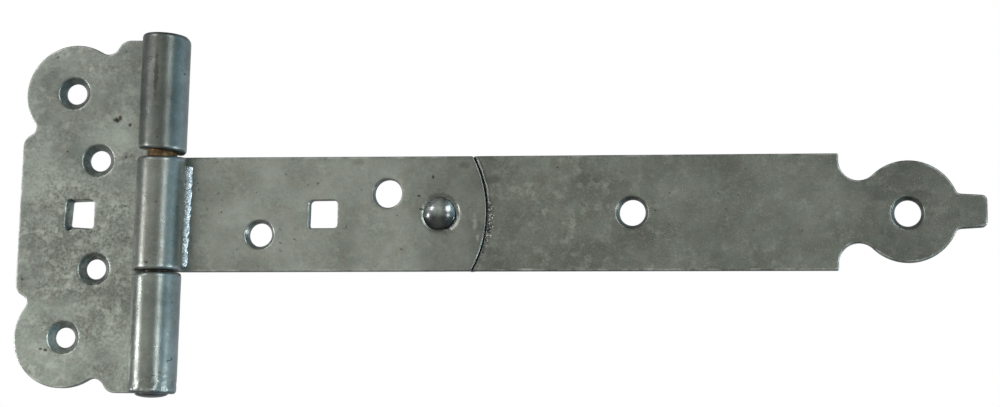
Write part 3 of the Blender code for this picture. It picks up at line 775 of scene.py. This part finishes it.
def greased_steel(name):
    """Drawn steel pin: brown old grease where it shows between the knuckles, dark bare steel on its
    hammered ends."""
    material, tree, shader = finish(name)
    where = node(tree, "ShaderNodeTexCoord").outputs["Object"]
    smear = node(tree, "ShaderNodeTexNoise", Vector=where, Scale=380.0, Detail=4.0, Roughness=0.65)
    share = node(tree, "ShaderNodeMapRange", Value=smear.outputs["Fac"], From_Min=0.38, From_Max=0.62)
    grease = node(tree, "ShaderNodeMix", {"data_type": "RGBA"}, n0=share.outputs[0], n6=linear("#34230F"),
                  n7=linear("#7A5A2C"))
    height = node(tree, "ShaderNodeSeparateXYZ", Vector=where).outputs[2]
    away = node(tree, "ShaderNodeMath", {"operation": "ABSOLUTE"}, n0=height).outputs[0]
    end = node(tree, "ShaderNodeMapRange", Value=away, From_Min=0.058, From_Max=0.0615)
    # painted shade: the grease is darker below the pin's middle, down to 0.15
    low = node(tree, "ShaderNodeMapRange", Value=height, From_Min=-0.005, From_Max=0.005, To_Min=0.15)
    shaded = node(tree, "ShaderNodeVectorMath", {"operation": "SCALE"}, n0=grease.outputs[2],
                  Scale=low.outputs[0]).outputs[0]
    colour = node(tree, "ShaderNodeMix", {"data_type": "RGBA"}, n0=end.outputs[0], n6=shaded,
                  n7=linear("#6E7072"))
    tree.links.new(colour.outputs[2], shader.inputs["Base Color"])
    metallic = node(tree, "ShaderNodeMapRange", Value=end.outputs[0], To_Min=0.35, To_Max=1.0)
    tree.links.new(metallic.outputs[0], shader.inputs["Metallic"])
    shader.inputs["Roughness"].default_value = 0.36
    bump = node(tree, "ShaderNodeBump", Height=smear.outputs["Fac"], Strength=0.4, Distance=0.0001)
    tree.links.new(bump.outputs[0], shader.inputs["Normal"])
    return material


def dress(thing, material):
    thing.data.materials.clear()
    thing.data.materials.append(material)


# ---------------------------------------------------------------- studio

def build_floor():
    """A pale floor well below the hinge."""
    count = 24
    a = np.arange(count) * TURN / count
    rim = np.column_stack([3.5 * np.cos(a), 3.5 * np.sin(a), np.full(count, -0.42)])
    floor = mesh_piece("studio_floor", rim, [list(range(count))])
    material, tree, shader = finish("pale_floor")
    shader.inputs["Base Color"].default_value = linear("#D6D6D4")
    shader.inputs["Roughness"].default_value = 0.9
    floor.data.materials.append(material)
    floor.visible_glossy = False


def build_room():
    """A white room to look at and to light matt surfaces, and a dim one to reflect: greenish grey ahead,
    dark to the left, blue to the right, brightest at eye level and darkest straight up and down."""
    scene = bpy.context.scene
    scene.view_settings.view_transform = "Standard"
    world = bpy.data.worlds.new("studio")
    scene.world = world
    world.use_nodes = True
    tree = world.node_tree
    out = tree.nodes["World Output"]
    seen = tree.nodes["Background"]
    seen.inputs["Color"].default_value = (1, 1, 1, 1)
    seen.inputs["Strength"].default_value = 1.0
    heading = node(tree, "ShaderNodeTexCoord").outputs["Generated"]
    split = node(tree, "ShaderNodeSeparateXYZ", Vector=heading)
    ahead = node(tree, "ShaderNodeMath", {"operation": "MULTIPLY"}, n0=split.outputs[1], n1=-1.0)
    azimuth = node(tree, "ShaderNodeMath", {"operation": "ARCTAN2"}, n0=split.outputs[0], n1=ahead.outputs[0])
    turn = node(tree, "ShaderNodeMapRange", Value=azimuth.outputs[0], From_Min=-math.pi, From_Max=math.pi)

    def ramp_of(value, bands, low, high):
        made = node(tree, "ShaderNodeValToRGB", Fac=value)
        ramp = made.color_ramp
        while len(ramp.elements) < len(bands):
            ramp.elements.new(0.5)
        for element, (at, colour) in zip(ramp.elements, bands):
            element.position = (at - low) / (high - low)
            element.color = colour + (1,)
        return made.outputs[0]

    around = ramp_of(turn.outputs[0], (
        (-180, (0.62, 0.64, 0.64)), (-120, (0.56, 0.58, 0.59)), (-70, (0.42, 0.44, 0.45)),
        (-44, (0.62, 0.64, 0.60)), (-24, (0.82, 0.85, 0.79)), (-13, (0.86, 0.89, 0.83)),
        (-6, (0.72, 0.75, 0.69)), (4, (0.59, 0.61, 0.56)), (16, (0.47, 0.50, 0.48)),
        (34, (0.42, 0.50, 0.52)), (50, (0.38, 0.58, 0.68)), (62, (0.42, 0.68, 0.82)),
        (76, (0.42, 0.70, 0.86)), (92, (0.54, 0.80, 0.96)), (112, (0.72, 0.88, 1.00)),
        (130, (0.58, 0.70, 0.82)), (155, (0.58, 0.64, 0.70)), (180, (0.62, 0.64, 0.64))), -180, 180)
    height = node(tree, "ShaderNodeMapRange", Value=split.outputs[2], From_Min=-1.0, From_Max=1.0)
    level = ramp_of(height.outputs[0], (
        (-1.0, (0.16,) * 3), (-0.93, (0.22,) * 3), (-0.80, (0.70,) * 3), (-0.45, (0.60,) * 3),
        (-0.12, (0.95,) * 3), (0.03, (1.0,) * 3), (0.15, (0.88,) * 3), (0.34, (0.68,) * 3),
        (0.60, (0.50,) * 3), (0.85, (0.60,) * 3), (0.95, (0.28,) * 3), (1.0, (0.24,) * 3)), -1, 1)
    lit = node(tree, "ShaderNodeMix", {"data_type": "RGBA", "blend_type": "MULTIPLY"}, n0=1.0, n6=around,
               n7=level)
    reflected = node(tree, "ShaderNodeBackground", Color=lit.outputs[2], Strength=1.0)
    rays = node(tree, "ShaderNodeLightPath").outputs
    path = node(tree, "ShaderNodeMath", {"operation": "MAXIMUM"}, n0=rays["Is Camera Ray"],
                n1=rays["Is Diffuse Ray"]).outputs[0]
    mixed = node(tree, "ShaderNodeMixShader", n0=path, n1=reflected.outputs[0], n2=seen.outputs[0])
    tree.links.new(mixed.outputs[0], out.inputs["Surface"])


def soft_box(name, heading, distance, width, height, power, colour, centre=(0.13, 0, 0), rise=0.0):
    """A soft box at this heading from the front, in degrees towards +X, facing the hinge."""
    data = bpy.data.lights.new(name, "AREA")
    data.shape = "RECTANGLE"
    data.size = width
    data.size_y = height
    data.energy = power
    data.color = colour
    lamp = bpy.data.objects.new(name, data)
    bpy.context.scene.collection.objects.link(lamp)
    a = math.radians(heading)
    place = (centre[0] + distance * math.sin(a), centre[1] - distance * math.cos(a), centre[2] + rise)
    lamp.location = place
    lamp.rotation_euler = (math.pi / 2 - math.atan2(rise, distance), 0, a)
    lamp.visible_camera = False


def build_lights():
    knuckles, rivet = (0.0, 0.0, 0.0), (0.1, 0.0, 0.0)
    soft_box("left_strip", -60, 1.3, 0.19, 0.28, 4.0, (1.0, 1.0, 0.98), knuckles, -0.08)
    soft_box("right_strip", 38, 1.3, 0.15, 0.28, 1.9, (0.95, 0.99, 1.0), knuckles, -0.08)
    soft_box("side_lamp", 82, 1.3, 0.18, 0.10, 3.5, (0.88, 0.97, 1.0), knuckles, -0.32)
    soft_box("left_lamp", -46, 1.3, 0.30, 0.42, 2.0, (1.0, 1.0, 0.98), rivet, 0.64)
    soft_box("right_lamp", 36, 1.3, 0.42, 0.42, 3.2, (0.95, 0.99, 1.0), rivet, 0.64)


def build_camera():
    data = bpy.data.cameras.new("eye_level")
    data.lens = 64.23
    data.sensor_width = 36.0
    data.shift_x = -0.151
    data.shift_y = -0.0338
    camera = bpy.data.objects.new("eye_level", data)
    bpy.context.scene.collection.objects.link(camera)
    camera.location = (0.2438, -0.6069, -0.0728)
    camera.rotation_euler = Euler((math.radians(98.191), math.radians(-0.335), math.radians(5.162)), "XYZ")
    bpy.context.scene.camera = camera


def main():
    plate_zinc = zinc("dulled_zinc_plate", "#AFB5AF", "#868C88", "#8D857D", 0.30, 0.31, (
        (-19.1, 33.6, 0.0, 1.5, 1.0, 0.9), (-17.9, 34.3, 0.0, 0.9, 1.0, 0.8),
        (-14.2, 31.8, 0.0, 0.7, 0.7, 0.8), (-40.9, -47.6, 0.0, 0.9, 0.7, 0.85),
        (-42.6, -47.2, 0.0, 0.7, 0.6, 0.7), (-15.1, 20.3, 0.0, 0.7, 0.7, 0.6),
        (21.7, 47.5, 3.0, 0.8, 9.5, 0.55)))
    eye_zinc = zinc("dulled_zinc_eye", "#A6AAA5", "#8B8F8A", "#968B7E", 0.30, 1.27, (
        (95.2, 12.7, 0.0, 0.5, 0.9, 0.8), (90.4, 6.1, 0.0, 0.6, 0.5, 0.8), (106.3, 16.8, 0.0, 2.6, 1.4, 0.3),
        (69.0, 18.0, 0.0, 3.0, 1.0, 0.2)), (
        (110.2, -3.4, 0.0, 0.9, 3.2, 0.35), (111.2, -8.4, 0.0, 0.7, 1.2, 0.35)))
    strap_zinc = zinc("dulled_zinc_strap", "#898D87", "#6E726D", "#73695F", 0.31, 2.45, (
        (116.3, 11.5, 0.0, 2.8, 1.6, 0.35),), (
        (115.3, -2.0, 0.0, 0.4, 4.5, 0.7), (114.6, -7.5, 0.0, 0.7, 1.2, 0.7)))
    dress(build_plate(), plate_zinc)
    dress(build_eye_strap(), eye_zinc)
    dress(build_long_strap(), strap_zinc)
    dress(build_pin(), greased_steel("greased_drawn_steel"))
    rivet = build_rivet()
    # painted shade on the lower part of the rivet's head, down to 0.2
    dress(rivet, bright_zinc("bright_zinc_rivet", "#BCC1C0", "#969B9B", 0.22, 420.0, 0.0001, 0.2))
    bead = build_weld()
    dress(bead, bright_zinc("bright_zinc_bead", "#F0F3F4", "#B8BDBF", 0.26, 1500.0, 0.0002))
    build_floor()
    build_room()
    build_lights()
    build_camera()


main()
